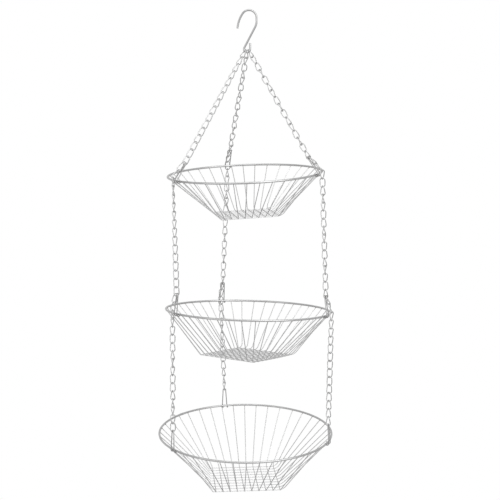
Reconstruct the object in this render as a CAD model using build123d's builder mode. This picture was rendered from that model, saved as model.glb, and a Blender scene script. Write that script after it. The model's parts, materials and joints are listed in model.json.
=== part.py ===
from build123d import *
from dataclasses import dataclass
from math import acos, asin, atan2, cos, degrees, hypot, pi, radians, sin, tan
import os

# Three-tier hanging wire basket. Millimetres, +Z up, the viewer stands at -Y.
# The origin is the point inside the crown of the hook that rests on a peg.

# Hook, bent from one wire in the XZ plane
hook_wire = 3.4
crown_radius = 11.8
crown_turn = 145.0
tail_radius = 46.0
hook_shoulder = 10.0
seat_radius = 4.8
seat_turn = 150.0
seat_depth = 63.0
seat_shift = -3.0
seat_tail = 9.5
hook_sides = 8
tail_steps = 2
crown_steps = 7
seat_steps = 7
seat_spread = 46.0
seat_play = 0.6

# Chain of twisted oval links
link_wire = 1.5
link_width = 9.2
link_pitch = 12.55
link_play = 0.45
link_twist = 60.0
end_share = 0.4
shoulder_share = 1.1

# Rims, basket wires and hanger clips
rim_wire = 3.6
rim_sides = 40
basket_wire = 1.3
weld_gap = 0.35
bend_radius = 9.0
floor_inset = 4.6
clip_wire = 1.6
clip_rise = 29.0
clip_spread = 4.0
curl_steps = 4
clip_clearance = 0.6
clip_crown = 2.15
end_clip_play = 0.45
crown_offset = 1.4
crown_rise = 2.1
top_clip_rise = 25.0
top_clip_lean = 33.0
chain_clearance = 1.4
chain_shelf = 6.0
round_sides = 6
square_sides = 4
side_turn = 90.0

# Stations of the three chains on each rim, in degrees from +X
top_stations = {"left": 213.0, "right": 337.0, "back": 103.0}
middle_stations = {"left": 214.0, "right": 338.0, "back": 110.0}
bottom_stations = {"left": 216.5, "right": 339.0, "back": 105.0}

# Each basket: rim radius, depth, side of its square floor, drop of the rim from the one
# above, how far it hangs to one side of the hook's crown, how far it leans to the front and
# rolls to the left, and the turn of its floor
top_rim_radius = 122.0
top_depth = 65.0
top_floor = 95.0
top_wires = 9
top_drop = 252.0
top_shift = -6.6
top_lean = 3.0
top_roll = 2.2
top_turn = 11.0

middle_rim_radius = 132.0
middle_depth = 73.0
middle_floor = 111.0
middle_wires = 11
middle_drop = 219.5
middle_shift = -1.2
middle_lean = -3.7
middle_roll = -1.4
middle_turn = -36.0

bottom_rim_radius = 140.0
bottom_depth = 81.0
bottom_floor = 112.0
bottom_wires = 10
bottom_drop = 201.5
bottom_shift = -5.8
bottom_lean = 2.7
bottom_roll = -0.2
bottom_turn = 5.0

# Turn from each link to the next, in degrees, and where the chains sit on the hook's seat
rim_link_roll = -14.0
upper_rolls = {"left": 2.0, "back": -60.0, "right": -68.0}
middle_rolls = {"left": -12.0, "back": -62.0, "right": -38.0}
bottom_rolls = {"left": -30.0, "back": -18.0, "right": -12.0}
seat_angles = {"left": -seat_spread, "back": 0.0, "right": seat_spread}

SIDES = tuple(seat_angles)
os.makedirs("parts", exist_ok=True)


@dataclass
class Basket:
    """One tier: its sizes, and the tilted plane of its rim."""

    name: str
    radius: float
    depth: float
    floor: float
    wires: int
    height: float
    shift: float
    lean: float
    roll: float
    turn: float
    stations: dict

    def frame(self):
        return Plane(Location((self.shift, 0, self.height), (self.lean, -self.roll, 0)))

    def place(self, reach, azimuth, rise):
        """World point at a reach from the rim's centre, an azimuth and a height over the rim."""
        angle = radians(azimuth)
        local = Vector(reach * cos(angle), reach * sin(angle), rise)
        return self.frame().from_local_coords(local)

    def sideways(self, azimuth):
        return self.place(1, azimuth + 90, 0) - self.place(0, 0, 0)

    def outwards(self, azimuth):
        return self.place(1, azimuth, 0) - self.place(0, 0, 0)


def save(part, name):
    part.label = name
    export_step(part, f"parts/{name}.step")


def bent_wire(points, thickness, sides):
    """A wire of a flat-sided section, swept along straight runs with mitred bends."""
    with BuildPart() as wire:
        with BuildLine() as route:
            Polyline(*points)
        with BuildSketch(Plane(route.line @ 0, z_dir=route.line % 0)):
            RegularPolygon(thickness / 2, sides)
        sweep(path=route.line, transition=Transition.RIGHT)
    return wire.part


def arc_points(centre, radius, start, end, steps):
    """Points of an arc in the XZ plane, from one angle to another, in degrees."""
    angles = [radians(start + (end - start) * i / steps) for i in range(steps + 1)]
    return [centre + Vector(radius * cos(a), 0, radius * sin(a)) for a in angles]


def twisted_link(inner_length):
    """One link on the Z axis: an eight-cornered loop of square wire, with its upper end turned
    back and its lower end turned on by half the twist, so that it hooks across its neighbours."""
    half = link_wire / 2
    long_side = inner_length / 2 + half
    wide_side = link_width / 2 - half
    corners = [
        (wide_side, long_side - shoulder_share * wide_side),
        (end_share * wide_side, long_side),
    ]
    corners += [(-x, z) for x, z in reversed(corners)]
    corners += [(-x, -z) for x, z in corners]

    def turned(x, y, z):
        return Vector(x, y, z).rotate(Axis.Z, -link_twist * z / (2 * long_side))

    rings = []
    for i, (x, z) in enumerate(corners):
        before, after = corners[i - 1], corners[(i + 1) % len(corners)]
        along = Vector(after[0] - before[0], 0, after[1] - before[1]).normalized()
        out = along.cross(Vector(0, 1, 0)) * half
        if out.dot(Vector(x, 0, z)) < 0:
            out = -out
        rings.append([
            turned(x + out.X, 0, z + out.Z),
            turned(x, half, z),
            turned(x - out.X, 0, z - out.Z),
            turned(x, -half, z),
        ])
    faces = []
    for ring, following in zip(rings, rings[1:] + rings[:1]):
        for j in range(square_sides):
            k = (j + 1) % square_sides
            for corner in ((ring[j], following[j], following[k]), (ring[j], following[k], ring[k])):
                faces.append(Face(Wire.make_polygon(corner, close=True)))
    with BuildPart() as link:
        add(Solid(Shell(faces)))
    return link.part


@dataclass
class Stretch:
    """Equal links between two hooking points. side is the way the first link is wide at its
    upper end, last_side the way the last one has to be wide at its lower end, if it matters."""

    start: Vector
    end: Vector
    side: Vector
    last_side: Vector = None
    wanted_roll: float = 0.0

    def count(self):
        return max(1, round((self.end - self.start).length / link_pitch))

    def down(self):
        return (self.end - self.start).normalized()

    def spacing(self):
        return (self.end - self.start).length / self.count()

    def hooking_point(self, index):
        return self.start + self.down() * self.spacing() * index

    def square_to_run(self, side):
        return (side - self.down() * side.dot(self.down())).normalized()

    def roll(self):
        """The turn from one link to the next, so that the last link ends up on last_side."""
        steps = self.count() - 1
        if self.last_side is None or steps == 0:
            return self.wanted_roll
        first, last = self.square_to_run(self.side), self.square_to_run(self.last_side)
        needed = first.get_signed_angle(last, -self.down()) - link_twist
        half_turns = round((steps * self.wanted_roll - needed) / 180)
        return (needed + 180 * half_turns) / steps

    def turn(self, index):
        return link_twist / 2 + self.roll() * index

    def lower_side(self):
        """The way the last link is wide at its lower end."""
        angle = self.turn(self.count() - 1) + link_twist / 2
        return self.square_to_run(self.side).rotate(Axis((0, 0, 0), -self.down()), angle)

    def links(self, first, last):
        """The links from index first up to last, as one group of separate solids."""
        link = twisted_link(self.spacing() + link_play)
        side = self.square_to_run(self.side)
        places = []
        for i in range(first, last):
            middle = self.start + self.down() * self.spacing() * (i + 1 / 2)
            place = Plane(middle, x_dir=side, z_dir=-self.down())
            places.append(place.location * Location((0, 0, 0), (0, 0, self.turn(i))))
        with BuildPart() as chain:
            with Locations(*places):
                add(link)
        return chain.part


def seat_centre():
    return Vector(seat_shift, 0, seat_radius - seat_depth)


def hook_route():
    """The bends of the hook, from the tip of its crown to the tip of its seat."""
    crown = Vector(0, 0, hook_wire / 2 - crown_radius)
    turn = radians(crown_turn)
    inwards = Vector(-cos(turn), 0, -sin(turn))
    tail = arc_points(crown + inwards * (tail_radius - crown_radius), tail_radius, 180,
                      crown_turn, tail_steps)
    route = tail[:-1] + arc_points(crown, crown_radius, crown_turn, 0, crown_steps)
    route.append(crown + Vector(crown_radius, 0, -hook_shoulder))
    route += arc_points(seat_centre(), seat_radius, seat_turn, 360, seat_steps)
    route.append(seat_centre() + Vector(seat_radius, 0, seat_tail))
    return route


def seat_point(angle):
    """The middle of the hook's wire at an angle round the seat, and the run of the wire there."""
    outward = Vector(sin(radians(angle)), 0, -cos(radians(angle)))
    along = Vector(cos(radians(angle)), 0, sin(radians(angle)))
    return seat_centre() + outward * seat_radius, along


def wire_fan(basket, index):
    """How far round the rim a wire's end lies from the middle of its side, in degrees."""
    share = (2 * index - basket.wires + 1) / (basket.wires - 1)
    return degrees(asin(share * sin(radians(45 - 45 / basket.wires))))


def floor_wire(basket, index, heading, lift):
    """The six corners of a wire: up one side, across the floor and up the other side."""
    share = (2 * index - basket.wires + 1) / (basket.wires - 1)
    fan = radians(wire_fan(basket, index))
    sideways = share * (basket.floor / 2 - floor_inset)
    half = []
    for sign in (1, -1):
        edge = Vector(sign * basket.floor / 2, sideways, lift - basket.depth)
        angle = fan if sign > 0 else pi - fan
        rim = Vector(basket.radius * cos(angle), basket.radius * sin(angle), 0)
        leg = (edge - rim).normalized()
        top = rim + leg * (rim_wire / 2 + weld_gap)
        cut = bend_radius * tan(leg.get_angle(Vector(-sign, 0, 0)) * pi / 360)
        side = [top, edge - leg * cut, edge - Vector(sign * cut, 0, 0)]
        half.append([point.rotate(Axis.Z, heading) for point in side])
    corners = half[0] + half[1][::-1]
    return [basket.frame().from_local_coords(point) for point in corners]


def wire_set(basket, heading, lift):
    with BuildPart() as wires:
        for index in range(basket.wires):
            add(bent_wire(floor_wire(basket, index, heading, lift), basket_wire, square_sides))
    return wires.part


def rim_ring(basket):
    """The rim: a flat-sided wire round a many-cornered ring, begun in the middle of a side."""
    step = 360 / rim_sides
    corners = [basket.place(basket.radius, step * (i + 1 / 2), 0) for i in range(rim_sides)]
    start = (corners[-1] + corners[0]) / 2
    with BuildPart() as ring:
        with BuildLine() as route:
            Polyline(start, *corners, start)
        with BuildSketch(Plane(start, z_dir=route.line % 0)):
            RegularPolygon(rim_wire / 2, round_sides)
        sweep(path=route.line, transition=Transition.RIGHT)
    return ring.part


def clip_station(basket, station):
    """The place of a clip on the rim: as near to its chain as the wire ends beside it allow."""
    ends = [basket.turn + side_turn * side + wire_fan(basket, index)
            for side in range(-4, 8) for index in range(basket.wires)]
    ends.sort()
    room = degrees((clip_spread + (clip_wire + basket_wire) / 2 + clip_clearance) / basket.radius)
    places = []
    for start, end in zip(ends, ends[1:]):
        middle = (start + end) / 2
        nearest = max(min(start + room, middle), min(station, max(end - room, middle)))
        places.append(nearest)
    return min(places, key=lambda place: abs(place - station))


def clip_grip():
    return rim_wire / 2 + clip_clearance + clip_wire / 2


def clip_point(basket, station, angle):
    """A point on a clip's grip round the rim, at an angle over the outside of the rim."""
    turn = radians(angle)
    reach = basket.radius + clip_grip() * cos(turn)
    return basket.place(reach, clip_station(basket, station), clip_grip() * sin(turn))


def clip_lean(basket, station, touch):
    """The angle on the grip where the legs leave it, straight towards the chain."""
    local = basket.frame().to_local_coords(touch).rotate(Axis.Z, -clip_station(basket, station))
    across = local.X - basket.radius
    return degrees(atan2(local.Z, across) - acos(clip_grip() / hypot(across, local.Z)))


def beside_crown(basket, station, arrival, share):
    """A point in the last link of a chain, to one side of its middle and as much over it."""
    outwards = arrival.square_to_run(basket.outwards(station)) * (crown_offset * share)
    return arrival.end + outwards - arrival.down() * (crown_rise * abs(share))


def clip_touch(basket, station, arrival):
    """Where a clip hangs in its chain: beside the next chain's links, if one goes on from it."""
    if basket is bottom:
        return arrival.end - arrival.down() * end_clip_play
    return beside_crown(basket, station, arrival, -1)


def hanger_clip(basket, station, arrival):
    """A hairpin from the chain to the rim, with both feet curled under and up inside."""
    sideways = basket.sideways(clip_station(basket, station))
    touch = clip_touch(basket, station, arrival)
    lean = clip_lean(basket, station, touch)
    down = (clip_point(basket, station, lean) - touch).normalized()
    crown = touch - down * (link_play + clip_wire) / 2
    half = []
    for sign in (1, -1):
        curl = []
        for i in range(curl_steps + 1):
            angle = 180 + (180 + lean) * i / curl_steps
            curl.append(clip_point(basket, station, angle) + sideways * (sign * clip_spread))
        curl.append(crown + down * clip_crown + sideways * (sign * clip_crown))
        curl.append(crown + sideways * (sign * clip_crown / 2))
        half.append(curl)
    return bent_wire(half[0] + half[1][::-1], clip_wire, square_sides)


hook = bent_wire(hook_route(), hook_wire, hook_sides)
save(hook, "hook")

top = Basket("top", top_rim_radius, top_depth, top_floor, top_wires,
             -top_drop, top_shift, top_lean, top_roll, top_turn, top_stations)
middle = Basket("middle", middle_rim_radius, middle_depth, middle_floor, middle_wires,
                top.height - middle_drop, middle_shift, middle_lean, middle_roll, middle_turn,
                middle_stations)
bottom = Basket("bottom", bottom_rim_radius, bottom_depth, bottom_floor, bottom_wires,
                middle.height - bottom_drop, bottom_shift, bottom_lean, bottom_roll, bottom_turn,
                bottom_stations)

# Baskets
for basket in (top, middle, bottom):
    save(rim_ring(basket), f"{basket.name}_rim")
    save(wire_set(basket, basket.turn, 0), f"{basket.name}_long_wires")
    save(wire_set(basket, basket.turn + side_turn, basket_wire + weld_gap), f"{basket.name}_cross_wires")


def chain_start(basket, station, arrival):
    """Where a chain leaves a rim for the next tier, clear of the rim and of the clip's legs."""
    lean = radians(clip_lean(basket, station, clip_touch(basket, station, arrival)))
    room = link_width / 2 + chain_clearance
    past_clip = (clip_grip() + room - chain_shelf * sin(lean)) / cos(lean)
    reach = basket.radius + max(rim_wire / 2 + room, past_clip)
    return basket.place(reach, station, chain_shelf)


def top_apex(station):
    """The crown of a top clip, which leans in towards the hook."""
    reach = top.radius + clip_grip() - top_clip_rise * tan(radians(top_clip_lean))
    return top.place(reach, station, top_clip_rise)


def hung_apex(basket, station, start):
    """The crown of a lower clip, on the line from the top of its chain to the rim."""
    rim = basket.place(basket.radius, station, 0)
    return rim + (start - rim) * (clip_rise / (start.Z - rim.Z))


def over_rim(basket, station, arrival):
    """Links that go on from a chain's last link, over the outside of the rim."""
    begin = beside_crown(basket, station, arrival, 1)
    return Stretch(begin, chain_start(basket, station, arrival), basket.sideways(station),
                   wanted_roll=rim_link_roll)


# Chains from the hook to the top basket
rim_links, uppers = {}, {}
first_links = []
for side, station in top.stations.items():
    seat, along = seat_point(seat_angles[side])
    apex = top_apex(station)
    begin = seat - (apex - seat).normalized() * (hook_wire / 2 + seat_play)
    upper = Stretch(begin, apex, (apex - begin).cross(along), top.outwards(station),
                    upper_rolls[side])
    uppers[side] = upper
    first_links.append(upper.links(0, 1))
    save(upper.links(1, upper.count()), f"upper_chain_{side}")
    save(hanger_clip(top, station, upper), f"top_clip_{side}")
    rim_links[side] = over_rim(top, station, upper)
    save(rim_links[side].links(0, rim_links[side].count()), f"top_rim_links_{side}")
with BuildPart() as hook_links:
    for link in first_links:
        add(link)
save(hook_links.part, "hook_links")

# Chains from each basket to the next one down
runs = {}
for basket, leader, rolls in ((middle, "left", middle_rolls), (bottom, "back", bottom_rolls)):
    for side, station in basket.stations.items():
        over = rim_links[side]
        apex = hung_apex(basket, station, over.end)
        run = Stretch(over.end, apex, over.lower_side().cross(Vector(0, 0, 1)),
                      basket.outwards(station), rolls[side])
        runs[basket.name, side] = run
        last = run.count() - 1 if side == leader else run.count()
        save(run.links(0, 1), f"{basket.name}_first_link_{side}")
        save(run.links(1, last), f"{basket.name}_chain_{side}")
        if side == leader:
            save(run.links(last, run.count()), f"{basket.name}_last_link_{side}")
        save(hanger_clip(basket, station, run), f"{basket.name}_clip_{side}")
        if basket is middle:
            rim_links[side] = over_rim(basket, station, run)
            save(rim_links[side].links(0, rim_links[side].count()), f"middle_rim_links_{side}")
        print(basket.name, side, "links", run.count(), "spacing", round(run.spacing(), 3),
              "roll", round(run.roll(), 1))
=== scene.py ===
import json
from math import acos, asin, atan2, cos, degrees, hypot, pi, radians, sin, tan

import bmesh
import bpy
import numpy as np
from mathutils import Matrix, Vector


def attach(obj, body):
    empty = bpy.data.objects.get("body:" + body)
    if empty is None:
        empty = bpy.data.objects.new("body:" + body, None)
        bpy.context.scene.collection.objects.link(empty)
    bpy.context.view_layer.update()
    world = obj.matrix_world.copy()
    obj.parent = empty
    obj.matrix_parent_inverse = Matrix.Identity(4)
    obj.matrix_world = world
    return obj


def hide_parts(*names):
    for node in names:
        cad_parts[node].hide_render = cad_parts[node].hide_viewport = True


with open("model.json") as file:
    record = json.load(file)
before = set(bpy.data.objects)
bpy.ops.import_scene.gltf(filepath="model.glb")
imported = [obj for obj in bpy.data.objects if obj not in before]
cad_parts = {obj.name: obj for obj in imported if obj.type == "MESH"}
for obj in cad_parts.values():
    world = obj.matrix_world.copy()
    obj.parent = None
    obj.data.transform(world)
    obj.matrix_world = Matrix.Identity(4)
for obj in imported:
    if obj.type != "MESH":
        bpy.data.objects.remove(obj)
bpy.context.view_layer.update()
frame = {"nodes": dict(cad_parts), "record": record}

# A three-tier hanging basket set: baskets of plated steel wire on chains of twisted links.
# Lengths are in metres and the named angles in degrees. +Z is up, the viewer stands at -Y, and
# the origin is under the top of the hook's crown, where the hook rests on its peg.
mm = 0.001

# Hook
HOOK_WIRE = 3.2 * mm
HOOK_SIDES = 16
CROWN_TOP = 1.7 * mm          # the middle of the wire there
CROWN_RADIUS = 11.8 * mm
CROWN_TURN = 145              # where the crown goes over into the wider tail
CROWN_STEPS = 20
TAIL_RADIUS = 46.0 * mm
TAIL_START = 176
TAIL_STEPS = 10
SHOULDER_DROP = 10.0 * mm     # from the middle of the crown down to the shank
SHOULDER_CUT = 4.5 * mm       # what the bend takes from each side of the corner
SHOULDER_SEGMENTS = 8
SEAT_RADIUS = 4.8 * mm
SEAT_TURN = 150
SEAT_STEPS = 18
SEAT_DEPTH = 63.0 * mm        # from the origin down to the middle of the wire
SEAT_SHIFT = -3.0 * mm        # sideways from the middle of the crown
SEAT_TAIL = 9.5 * mm          # the straight end past the seat
TIP_ROUNDING = 0.9 * mm
TIP_SEGMENTS = 3

# Chain links
LINK_WIRE = 1.5 * mm
LINK_SIDES = 8
LINK_WIDTH = 9.2 * mm
LINK_TWIST = 60
LINK_PLAY = 0.45 * mm         # how far one link moves in the next
LINK_ENDS = 2.68 * mm         # a solid link's length less its inner length
LINK_SLACK = 0.28 * mm        # how much longer inside the round links are
LINK_ROUNDING = 1.1           # an end's length against a half circle's
LINK_STEPS = 10

# Rims and basket wires
RIM_WIRE = 3.3 * mm
RIM_SIDES = 12
RIM_STEPS = 120
RIM_SEAM = 0.01 * mm          # the spun ring is merged within this
BEAD_TURN = 135               # from the middle of a basket's first side
BEAD_REACH = 2                # to each side of the weld
BEAD_RISE = 0.3 * mm
BASKET_WIRE = 1.3 * mm
BASKET_SIDES = 10
CROSS_LIFT = 1.25 * mm        # of the cross wires over the long ones
BEND_RADIUS = 13.0 * mm
BEND_SEGMENTS = 5
FLOOR_INSET = 4.6 * mm        # from the floor's edge to its outermost wire
WELD_BITE = 0.3 * mm          # how deep a wire's end goes into the rim
WELD_COLLAR = 1.2 * mm        # the length of a wire's flared end
WELD_FLARE = 1.5

# Clips
CLIP_WIRE = 1.6 * mm
CLIP_SIDES = 10
CLIP_SPREAD = 4.0 * mm        # from the middle of a clip to each foot
CLIP_GRIP = 3.2 * mm          # from the middle of the rim's wire to the clip's
CLIP_CROWN = 2.15 * mm        # half the width of the crown
CLIP_CUT = 0.97 * CLIP_CROWN  # what a bend takes from each side of its corner
CLIP_SEGMENTS = 6
CLIP_OFFSET = 1.4 * mm        # inwards from the end of the link, beside the next chain
CLIP_RISE = 2.1 * mm          # up from the end of the link, beside the next chain
CLIP_ROOM = 6.05 * mm         # from the middle of a clip to the nearest wire's end
END_CLIP_PLAY = 0.45 * mm     # up from the end of the last link of all
CURL_STEPS = 8

# Cleaning of the meshes
MERGE_WITHIN = 0.001 * mm
SMOOTH_BELOW = 50


class Tier:
    """One basket: its sizes, the tilted plane of its rim and where its chains arrive."""

    def __init__(self, name, radius, depth, floor, wires, turn, shift, height, lean, roll,
                 left, right, back):
        self.name = name
        self.radius = radius * mm
        self.depth = depth * mm
        self.floor = floor * mm
        self.wires = wires
        self.turn = turn
        self.stations = {"left": left, "right": right, "back": back}
        self.plane = (Matrix.Translation((shift * mm, 0, height * mm))
                      @ Matrix.Rotation(radians(lean), 4, "X")
                      @ Matrix.Rotation(radians(-roll), 4, "Y"))

    def place(self, reach, azimuth, rise):
        """A point by its reach from the middle of the rim, its azimuth and its rise."""
        turn = radians(azimuth)
        return self.plane @ Vector((reach * cos(turn), reach * sin(turn), rise))

    def outwards(self, azimuth):
        return self.place(1, azimuth, 0) - self.place(0, 0, 0)

    def share(self, index):
        """Where a wire lies on its side: 0 in the middle, and 1 and -1 for the outermost two."""
        return (2 * index - self.wires + 1) / (self.wires - 1)

    def fan(self, index):
        """How far round the rim a wire's end lies from the middle of its side, in degrees."""
        return degrees(asin(self.share(index) * sin(radians(45 - 45 / self.wires))))

    def clip_azimuth(self, station):
        """The place of a clip: as near to its chain as the wire ends beside it allow."""
        sides_three_times_round = range(-4, 8)
        ends = sorted(self.turn + 90 * side + self.fan(index)
                      for side in sides_three_times_round for index in range(self.wires))
        room = degrees(CLIP_ROOM / self.radius)
        places = []
        for start, end in zip(ends, ends[1:]):
            middle = (start + end) / 2
            places.append(max(min(start + room, middle), min(station, max(end - room, middle))))
        return min(places, key=lambda place: abs(place - station))


TIERS = [
    Tier("top", radius=122, depth=65, floor=95, wires=9, turn=11, shift=-6.6, height=-252,
         lean=3.0, roll=2.2, left=213, right=337, back=103),
    Tier("middle", radius=132, depth=73, floor=111, wires=11, turn=-36, shift=-1.2,
         height=-471.5, lean=-3.7, roll=-1.4, left=214, right=338, back=110),
    Tier("bottom", radius=140, depth=81, floor=112, wires=10, turn=5, shift=-5.8, height=-673,
         lean=2.7, roll=-0.2, left=216.5, right=339, back=105),
]

BODY_OF = {node: body for body, nodes in frame["record"]["behaviour"]["bodies"].items()
           for node in nodes}


# Finishes

# Marks on the plating: a level is a share of the plating's grey, a dulling is added roughness
CLOUD_SIZE = 22 * mm
CLOUD_RAMP = ((0.35, 0), (0.7, 1))
CLOUD_LEVEL = 0.9
CLOUD_DULLING = 0.08
SPECK_SIZE = 2.5 * mm
SPECK_RAMP = ((0.62, 0), (0.8, 1))
SPECK_LEVEL = 0.7
SPECK_STRENGTH = 0.25         # how far the specks show in the colour
SPECK_DULLING = 0.1
GRAIN_SIZE = 0.6 * mm
GRAIN_DEPTH = 0.002 * mm
EDGE_TINT = 0.9               # the grey of the metal seen at a grazing angle

# Heat marks at the welds, and a painted highlight that makes the floor wires lighter
HEAT_RAGGEDNESS = 3 * mm      # how far the edge of a heat mark wanders
HEAT_REACH = 10 * mm          # from the middle of the rim's wire
HEAT_RAMP = ((0.3, 1), (0.62, 0))
HEAT_LEVEL = 0.6
HEAT_DULLING = 0.25
FLOOR_HIGHLIGHT_REACH = 12 * mm         # up from the floor
FLOOR_HIGHLIGHT_RAMP = ((0.1, 1), (0.6, 0))
FLOOR_HIGHLIGHT_LEVEL = 1.13


class Socket:
    """A shader socket that takes part in sums: each operator adds a Math node."""

    def __init__(self, finish, socket):
        self.finish = finish
        self.socket = socket

    def maths(self, operation, *values):
        return self.finish.node("ShaderNodeMath", {"operation": operation}, *values)

    def __add__(self, other):
        return self.maths("ADD", self, other)

    def __radd__(self, other):
        return self.maths("ADD", other, self)

    def __sub__(self, other):
        return self.maths("SUBTRACT", self, other)

    def __rsub__(self, other):
        return self.maths("SUBTRACT", other, self)

    def __mul__(self, other):
        return self.maths("MULTIPLY", self, other)

    def __rmul__(self, other):
        return self.maths("MULTIPLY", other, self)

    def __truediv__(self, other):
        return self.maths("DIVIDE", self, other)

    def __rtruediv__(self, other):
        return self.maths("DIVIDE", other, self)

    def __pow__(self, other):
        return self.maths("POWER", self, other)

    def __rpow__(self, other):
        return self.maths("POWER", other, self)


class Finish:
    """The nodes of a material or of the world, and the one way in which they are made."""

    def __init__(self, holder, shader="Principled BSDF"):
        holder.use_nodes = True
        self.tree = holder.node_tree
        self.shader = self.tree.nodes[shader]

    def node(self, kind, settings, *values, output=0, **named):
        """A new node: its settings come first, then the values or links of its sockets."""
        made = self.tree.nodes.new(kind)
        stops = settings.pop("stops", ())
        for setting, value in settings.items():
            setattr(made, setting, value)
        if stops:
            for element, (position, level) in zip(made.color_ramp.elements, stops):
                element.position = position
                element.color = grey(level)
        for socket, value in list(enumerate(values)) + list(named.items()):
            self.join(value, made.inputs[socket])
        return Socket(self, made.outputs[output])

    def join(self, value, socket):
        if isinstance(value, Socket):
            self.tree.links.new(value.socket, socket)
        elif value is not None:
            socket.default_value = value

    def feed(self, **named):
        for name, value in named.items():
            self.join(value, self.shader.inputs[name.replace("_", " ")])

    def place(self):
        return self.node("ShaderNodeTexCoord", {}, output="Object")

    def cloud(self, size, detail=2, roughness=0.5):
        """Soft noise whose patches are about this size, in metres, around a half."""
        return self.node("ShaderNodeTexNoise", {}, Vector=self.place(), Scale=1 / size,
                         Detail=detail, Roughness=roughness)

    def blend(self, mask, first, second):
        """A colour that goes from the first to the second with a mask from 0 to 1."""
        number_and_vector_sockets = [None] * 5
        return self.node("ShaderNodeMix", {"data_type": "RGBA"}, mask,
                         *number_and_vector_sockets, first, second, output=2)

    def rays(self, kind):
        return self.node("ShaderNodeLightPath", {}, output=f"Is {kind} Ray")

    def studio_white(self, to_eye, in_metal):
        """How far a surface shows plain white, to the eye and in metal or glass."""
        mirrored = self.node("ShaderNodeMath", {"operation": "ADD", "use_clamp": True},
                             self.rays("Glossy"), self.rays("Transmission"))
        return self.rays("Camera") * to_eye + mirrored * in_metal

    def steps(self, value, stops):
        return self.node("ShaderNodeValToRGB", {"stops": stops}, value)

    def bump(self, height, distance):
        return self.node("ShaderNodeBump", {}, Height=height, Distance=distance, Strength=1.0)


def grey(level, warmth=0.0):
    return (level * (1 + warmth), level, level * (1 - warmth), 1)


def plated_wire(name, level, sheen, dulling=None, painted_highlight=None):
    """Bright plated steel wire: clouded plating, dull specks and a faint grain."""
    material = bpy.data.materials.new(name)
    finish = Finish(material)
    clouds = finish.steps(finish.cloud(CLOUD_SIZE, detail=3), CLOUD_RAMP)
    specks = finish.steps(finish.cloud(SPECK_SIZE), SPECK_RAMP)
    grain = finish.cloud(GRAIN_SIZE)
    colour = finish.blend(clouds, grey(level, warmth=-0.004),
                          grey(level * CLOUD_LEVEL, warmth=0.006))
    colour = finish.blend(specks * SPECK_STRENGTH, colour,
                          grey(level * SPECK_LEVEL, warmth=0.02))
    rough = sheen + clouds * CLOUD_DULLING + specks * SPECK_DULLING
    # Painted highlight: the floor wires get a lighter grey than the rest of the basket
    if painted_highlight:
        colour = finish.blend(painted_highlight(finish), colour, grey(level * FLOOR_HIGHLIGHT_LEVEL))
    if dulling:
        mark = dulling(finish)
        colour = finish.blend(mark, colour, grey(level * HEAT_LEVEL, warmth=0.05))
        rough = rough + mark * HEAT_DULLING
    finish.feed(Base_Color=colour, Roughness=rough, Metallic=1.0,
                Normal=finish.bump(grain, GRAIN_DEPTH), Specular_Tint=grey(EDGE_TINT))
    return material


def in_tier(finish, tier, axes):
    """The coordinates of a point on a basket along these axes of its rim's plane."""
    back = tier.plane.inverted()
    place = finish.node("ShaderNodeMapping", {"vector_type": "POINT"}, Vector=finish.place(),
                        Location=back.to_translation(), Rotation=back.to_euler())
    return [finish.node("ShaderNodeSeparateXYZ", {}, place, output=axis) for axis in axes]


def painted_floor_highlight(tier):
    """The floor of a tier as a mask, for a painted highlight that makes its wires lighter."""
    def shine(finish):
        [z] = in_tier(finish, tier, "Z")
        return finish.steps((z + tier.depth) / FLOOR_HIGHLIGHT_REACH, FLOOR_HIGHLIGHT_RAMP)
    return shine


def weld_marks(tier):
    """The ragged heat marks where a tier's wires are welded to its rim, as a mask."""
    def mark(finish):
        x, y, z = in_tier(finish, tier, "XYZ")
        reach = (x * x + y * y) ** 0.5 - tier.radius
        gap = (reach * reach + z * z) ** 0.5
        wander = finish.cloud(HEAT_RAGGEDNESS) * HEAT_RAGGEDNESS
        return finish.steps((gap + wander) / HEAT_REACH, HEAT_RAMP)
    return mark


# Modelling by hand

def nothing_selected():
    bpy.ops.object.select_all(action="DESELECT")


def only(*pieces):
    nothing_selected()
    for piece in pieces:
        piece.select_set(True)
    bpy.context.view_layer.objects.active = pieces[0]


def apply_place():
    """Moves the place, turn and size of what is selected into its mesh."""
    bpy.ops.object.transform_apply(location=True, rotation=True, scale=True)


def edit(selection):
    """Edit mode, with all or nothing selected."""
    bpy.ops.object.mode_set(mode="EDIT")
    bpy.ops.mesh.select_all(action=selection)


def leave_edit():
    bpy.ops.object.mode_set(mode="OBJECT")


def select_vertices(numbers):
    bpy.ops.mesh.select_all(action="DESELECT")
    mesh = bmesh.from_edit_mesh(bpy.context.object.data)
    mesh.verts.ensure_lookup_table()
    for number in numbers:
        mesh.verts[number].select_set(True)
    bmesh.update_edit_mesh(bpy.context.object.data)


def joined(pieces):
    """Several pieces made one, with their places in its mesh."""
    only(*pieces)
    apply_place()
    if len(pieces) > 1:
        bpy.ops.object.join()
    return bpy.context.object


def start_line(place):
    """A mesh of a single vertex in edit mode, ready to be pulled out into a line."""
    nothing_selected()
    bpy.ops.mesh.primitive_plane_add(size=mm)
    edit("SELECT")
    bpy.ops.mesh.merge(type="CENTER")
    bpy.ops.transform.translate(value=place)


def pull(step):
    bpy.ops.mesh.extrude_region_move(TRANSFORM_OT_translate={"value": step})


def draw_line(points, corners=(), cut=0, segments=1):
    """A bare line through the points. The numbered corners are rounded over this cut."""
    start_line(points[0])
    for here, there in zip(points, points[1:]):
        pull(there - here)
    if corners:
        select_vertices(corners)
        bpy.ops.mesh.bevel(offset=cut, offset_type="OFFSET", segments=segments, affect="VERTICES")
    leave_edit()
    return bpy.context.object


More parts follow.
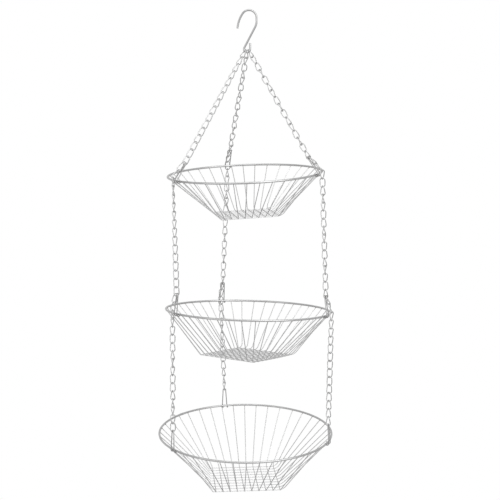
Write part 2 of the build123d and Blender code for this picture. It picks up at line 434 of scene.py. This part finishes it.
def thicken(lines, thickness, sides, flare=1.0):
    """Joins bare lines and gives them a round section, wider at the ends where they flare."""
    joined(lines)
    bpy.ops.object.convert(target="CURVE")
    wire = bpy.context.object.data
    wire.bevel_depth = thickness / 2
    wire.bevel_resolution = sides // 2 - 2
    wire.use_fill_caps = True
    for spline in wire.splines:
        spline.points[0].radius = flare
        spline.points[-1].radius = flare
    bpy.ops.object.convert(target="MESH")
    return bpy.context.object


def settle(piece, name, material, *nodes):
    """Cleans a piece, gives it its finish and lets it stand for its CAD nodes."""
    only(piece)
    apply_place()
    edit("SELECT")
    bpy.ops.mesh.remove_doubles(threshold=MERGE_WITHIN)
    bpy.ops.mesh.normals_make_consistent(inside=False)
    leave_edit()
    bpy.ops.object.shade_smooth_by_angle(angle=radians(SMOOTH_BELOW))
    piece.name = name
    piece.data.materials.append(material)
    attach(piece, BODY_OF[nodes[0]])
    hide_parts(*nodes)


def arc(centre, radius, start, end, steps):
    """Points on an upright arc, from a start to an end in degrees over +X."""
    turns = [radians(start + (end - start) * i / steps) for i in range(steps + 1)]
    return [centre + Vector((radius * cos(turn), 0, radius * sin(turn))) for turn in turns]


def bent_hook():
    """A wide tail, a round crown, a slanted shank and a small seat, all of one wire."""
    crown = Vector((0, 0, CROWN_TOP - CROWN_RADIUS))
    seat = Vector((SEAT_SHIFT, 0, SEAT_RADIUS - SEAT_DEPTH))
    turn = radians(CROWN_TURN)
    tail = crown - Vector((cos(turn), 0, sin(turn))) * (TAIL_RADIUS - CROWN_RADIUS)
    points = arc(tail, TAIL_RADIUS, TAIL_START, CROWN_TURN, TAIL_STEPS)[:-1]
    points += arc(crown, CROWN_RADIUS, CROWN_TURN, 0, CROWN_STEPS)
    points.append(crown + Vector((CROWN_RADIUS, 0, -SHOULDER_DROP)))
    shoulder = len(points) - 1
    points += arc(seat, SEAT_RADIUS, SEAT_TURN, 360, SEAT_STEPS)
    points.append(seat + Vector((SEAT_RADIUS, 0, SEAT_TAIL)))
    line = draw_line(points, [shoulder], SHOULDER_CUT, SHOULDER_SEGMENTS)
    hook = thicken([line], HOOK_WIRE, HOOK_SIDES)
    edit("DESELECT")
    bpy.ops.mesh.select_mode(type="FACE")
    bpy.ops.mesh.select_face_by_sides(number=4, type="GREATER")
    bpy.ops.mesh.bevel(offset=TIP_ROUNDING, segments=TIP_SEGMENTS, affect="EDGES")
    bpy.ops.mesh.select_mode(type="VERT")
    leave_edit()
    return hook


def twisted_link(inner_length):
    """One link on the Z axis: an oval of round wire, twisted about its length."""
    wide = LINK_WIDTH / 2 - LINK_WIRE / 2
    straight = inner_length / 2 + LINK_WIRE / 2 - wide * LINK_ROUNDING
    half = [Vector((point.x, 0, point.z * LINK_ROUNDING))
            for point in arc(Vector(), wide, 0, 180, LINK_STEPS)]
    loop = [point + Vector((0, 0, straight)) for point in half]
    loop += [Vector((-point.x, 0, -point.z)) for point in loop]
    line = draw_line(loop)
    edit("DESELECT")
    select_vertices([0, len(loop) - 1])
    bpy.ops.mesh.edge_face_add()
    leave_edit()
    link = thicken([line], LINK_WIRE, LINK_SIDES)
    twist = link.modifiers.new("twist", "SIMPLE_DEFORM")
    twist.deform_method = "TWIST"
    twist.deform_axis = "Z"
    # The modifier spreads its angle over the outer length, and the named twist is for the
    # length of the wire's middle.
    twist.angle = radians(-LINK_TWIST) * (1 + LINK_WIRE / (inner_length + LINK_WIRE))
    bpy.ops.object.modifier_apply(modifier=twist.name)
    return link


def solids_of(node):
    """The corner points of each separate solid of a CAD node, from the highest to the lowest."""
    mesh = bmesh.new()
    mesh.from_mesh(frame["nodes"][node].data)
    bmesh.ops.remove_doubles(mesh, verts=mesh.verts, dist=MERGE_WITHIN)
    waiting = set(mesh.verts)
    solids = []
    for vertex in mesh.verts:
        if vertex not in waiting:
            continue
        waiting.remove(vertex)
        border = [vertex]
        points = []
        while border:
            corner = border.pop()
            points.append(list(corner.co))
            for edge in corner.link_edges:
                other = edge.other_vert(corner)
                if other in waiting:
                    waiting.remove(other)
                    border.append(other)
        solids.append(np.array(points))
    mesh.free()
    return sorted(solids, key=lambda points: -points[:, 2].mean())


def link_frames(node):
    """For each link of a CAD node: where it lies, and its inner length."""
    frames = []
    for points in solids_of(node):
        middle = points.mean(0)
        axes = np.linalg.svd(points - middle)[2]
        down = Vector(axes[0])
        wide = Vector(axes[1])
        if down.z > 0:
            down = -down
        turn = Matrix((wide, down.cross(wide), down)).transposed().to_4x4()
        along = (points - middle) @ axes[0]
        inner_length = along.max() - along.min() - LINK_ENDS
        frames.append((Matrix.Translation(middle) @ turn, inner_length))
    return frames


def chain_of(node):
    """The links of a CAD node, each a copy of one twisted link, laid where the solids are."""
    frames = link_frames(node)
    mean_length = sum(length for place, length in frames) / len(frames)
    link = twisted_link(mean_length + LINK_SLACK)
    copies = [link]
    while len(copies) < len(frames):
        copy = link.copy()
        copy.data = link.data.copy()
        bpy.context.scene.collection.objects.link(copy)
        copies.append(copy)
    for copy, (place, length) in zip(copies, frames):
        copy.matrix_world = place @ Matrix.Diagonal((1, 1, length / mean_length, 1))
    return joined(copies)


def rim_of(tier):
    """A ring of thick wire, spun from its section, with the bead of its butt weld."""
    nothing_selected()
    bpy.ops.mesh.primitive_circle_add(vertices=RIM_SIDES, radius=RIM_WIRE / 2,
                                      location=(tier.radius, 0, 0), rotation=(pi / 2, 0, 0))
    rim = bpy.context.object
    apply_place()
    edit("SELECT")
    bpy.ops.mesh.spin(steps=RIM_STEPS, angle=2 * pi, center=(0, 0, 0), axis=(0, 0, 1))
    bpy.ops.mesh.select_all(action="SELECT")
    bpy.ops.mesh.remove_doubles(threshold=RIM_SEAM)
    bpy.ops.mesh.normals_make_consistent(inside=False)
    bead = radians(tier.turn + BEAD_TURN)
    on_bead = []
    for number, vertex in enumerate(bmesh.from_edit_mesh(rim.data).verts):
        away = (atan2(vertex.co.y, vertex.co.x) - bead + pi) % (2 * pi) - pi
        if abs(away) < radians(BEAD_REACH):
            on_bead.append(number)
    select_vertices(on_bead)
    bpy.ops.transform.shrink_fatten(value=BEAD_RISE)
    leave_edit()
    rim.matrix_world = tier.plane
    return rim


def wires_of(tier, heading, lift):
    """The wires of one direction: down a side, across the floor and up the other side."""
    turned = tier.plane @ Matrix.Rotation(radians(heading), 4, "Z")
    lines = []
    for index in range(tier.wires):
        sideways = tier.share(index) * (tier.floor / 2 - FLOOR_INSET)
        halves = []
        for sign in (1, -1):
            edge = Vector((sign * tier.floor / 2, sideways, lift - tier.depth))
            fan = radians(tier.fan(index) if sign > 0 else 180 - tier.fan(index))
            rim = Vector((tier.radius * cos(fan), tier.radius * sin(fan), 0))
            leg = (edge - rim).normalized()
            cut = BEND_RADIUS * tan(leg.angle(Vector((-sign, 0, 0))) / 2)
            start = rim + leg * (RIM_WIRE / 2 - WELD_BITE)
            halves.append([start, start + leg * WELD_COLLAR, edge])
        points = [turned @ point for point in halves[0] + halves[1][::-1]]
        lines.append(draw_line(points, [2, 3], cut, BEND_SEGMENTS))
    return thicken(lines, BASKET_WIRE, BASKET_SIDES, WELD_FLARE)


def arriving_links(tier, side):
    """The CAD node whose lowest link carries a tier's clip."""
    last = f"{tier.name}_last_link_{side}"
    chain = "upper" if tier.name == "top" else tier.name
    return last if last in frame["nodes"] else f"{chain}_chain_{side}"


def clip_of(tier, side):
    """A hairpin that hangs in a chain's last link and curls round the rim at both feet."""
    station = tier.stations[side]
    place, length = link_frames(arriving_links(tier, side))[-1]
    down = place.to_3x3().col[2]
    spacing = length - LINK_PLAY
    end = place.to_translation() + down * (spacing / 2)
    outwards = tier.outwards(station)
    outwards = (outwards - down * outwards.dot(down)).normalized()
    if tier.name == "bottom":
        touch = end - down * END_CLIP_PLAY
    else:
        # Here the next chain hangs in the same link, and the clip beside it.
        touch = end - down * CLIP_RISE - outwards * CLIP_OFFSET
    azimuth = tier.clip_azimuth(station)
    across = tier.outwards(azimuth + 90)
    local = Matrix.Rotation(radians(-azimuth), 4, "Z") @ (tier.plane.inverted() @ touch)
    reach = local.x - tier.radius
    lean = degrees(atan2(local.z, reach) - acos(CLIP_GRIP / hypot(reach, local.z)))

    def grip(angle):
        """A point on the curl of a foot, at an angle over the outside of the rim."""
        turn = radians(angle)
        return tier.place(tier.radius + CLIP_GRIP * cos(turn), azimuth, CLIP_GRIP * sin(turn))

    leg = (grip(lean) - touch).normalized()
    crown = touch - leg * (LINK_PLAY + CLIP_WIRE) / 2
    halves = []
    for sign in (1, -1):
        foot = [grip(180 + (180 + lean) * i / CURL_STEPS) + across * (sign * CLIP_SPREAD)
                for i in range(CURL_STEPS + 1)]
        halves.append(foot + [crown + across * (sign * CLIP_CROWN)])
    corner = len(halves[0]) - 1
    points = halves[0] + halves[1][::-1]
    line = draw_line(points, [corner, corner + 1], CLIP_CUT, CLIP_SEGMENTS)
    return thicken([line], CLIP_WIRE, CLIP_SIDES)


# The basket set

hook_finish = plated_wire("hook_plating", level=0.43, sheen=0.2)
chain_finish = plated_wire("chain_plating", level=0.45, sheen=0.24)
rim_finish = plated_wire("rim_plating", level=0.44, sheen=0.22)
clip_finish = plated_wire("clip_plating", level=0.38, sheen=0.24)

settle(bent_hook(), "hook_wire", hook_finish, "hook")
for node in frame["nodes"]:
    if "link" in node or "chain" in node:
        settle(chain_of(node), node + "_twisted", chain_finish, node)

for tier in TIERS:
    # The floor wires carry a painted highlight, and the wires carry heat marks at the rim
    wire_finish = plated_wire(tier.name + "_basket_plating", level=0.5, sheen=0.24,
                              dulling=weld_marks(tier), painted_highlight=painted_floor_highlight(tier))
    settle(rim_of(tier), tier.name + "_rim_ring", rim_finish, tier.name + "_rim")
    for name, heading, lift in (("long", tier.turn, 0), ("cross", tier.turn + 90, CROSS_LIFT)):
        node = f"{tier.name}_{name}_wires"
        settle(wires_of(tier, heading, lift), node + "_bent", wire_finish, node)
    for side in tier.stations:
        node = f"{tier.name}_clip_{side}"
        settle(clip_of(tier, side), node + "_hairpin", clip_finish, node)


# Stage, light and camera

PAPER_LEVELS = (0.9, 0.94)
PAPER_ROUGHNESS = 0.9
FIBRE_SIZE = 4 * mm
FIBRE_DEPTH = 0.05 * mm
SHEET_CELLS = 8
ROOM_LEVEL = 0.6
LAMP_TARGET = Vector((0, 0, -0.38))
CAMERA_PLACE = (0.0016, -1.8, -0.134)
CAMERA_DIP = 7.6
CAMERA_LENS = 81.9
CAMERA_SENSOR = 36
CAMERA_SIGHT = 60


def stage_finish(name, to_eye, in_metal):
    """White paper that shows white to the eye and in the metal, and keeps a soft shadow."""
    material = bpy.data.materials.new(name)
    finish = Finish(material)
    fibres = finish.cloud(FIBRE_SIZE, detail=4, roughness=0.7)
    colour = finish.blend(fibres, *[grey(level) for level in PAPER_LEVELS])
    finish.feed(Base_Color=colour, Roughness=PAPER_ROUGHNESS,
                Normal=finish.bump(fibres, FIBRE_DEPTH))
    paper = Socket(finish, finish.shader.outputs[0])
    light = finish.node("ShaderNodeEmission", {}, grey(1.0), 1.0)
    shown = finish.node("ShaderNodeMixShader", {}, finish.studio_white(to_eye, in_metal), paper,
                        light)
    finish.join(shown, finish.tree.nodes["Material Output"].inputs[0])
    return material


def sheet(name, material, size, location, rotation=(0, 0, 0)):
    nothing_selected()
    bpy.ops.mesh.primitive_grid_add(x_subdivisions=SHEET_CELLS, y_subdivisions=SHEET_CELLS,
                                    size=size, location=location, rotation=rotation)
    apply_place()
    stage = bpy.context.object
    stage.name = name
    stage.data.materials.append(material)


def softbox(name, size, power, location):
    nothing_selected()
    bpy.ops.object.light_add(type="AREA", location=location)
    lamp = bpy.context.object
    lamp.name = name
    lamp.data.shape = "RECTANGLE"
    lamp.data.size, lamp.data.size_y = size
    lamp.data.energy = power
    lamp.rotation_euler = (LAMP_TARGET - Vector(location)).to_track_quat("-Z", "Y").to_euler()


sheet("floor", stage_finish("floor_paper", to_eye=0.92, in_metal=0.5), size=30,
      location=(0, 0, -2.15))
sheet("backdrop", stage_finish("backdrop_paper", to_eye=1.0, in_metal=1.0), size=12,
      location=(0, 3.2, 3.0), rotation=(pi / 2, 0, 0))

softbox("right_softbox", size=(1.8, 2.4), power=30, location=(1.5, -1.6, 0.9))
softbox("left_softbox", size=(1.4, 2.2), power=9, location=(-1.9, -1.9, 0.0))
softbox("top_softbox", size=(1.8, 1.4), power=16, location=(0.0, -0.9, 1.7))

world = bpy.data.worlds.new("studio")
bpy.context.scene.world = world
walls = Finish(world, "Background")
walls.feed(Color=walls.blend(walls.studio_white(1.0, 1.0), grey(ROOM_LEVEL), grey(1.0)))

nothing_selected()
bpy.ops.object.camera_add(location=CAMERA_PLACE, rotation=(radians(90 - CAMERA_DIP), 0, 0))
camera = bpy.context.object
camera.data.lens = CAMERA_LENS
camera.data.sensor_width = CAMERA_SENSOR
camera.data.clip_end = CAMERA_SIGHT
bpy.context.scene.camera = camera
bpy.context.scene.view_settings.view_transform = "Standard"
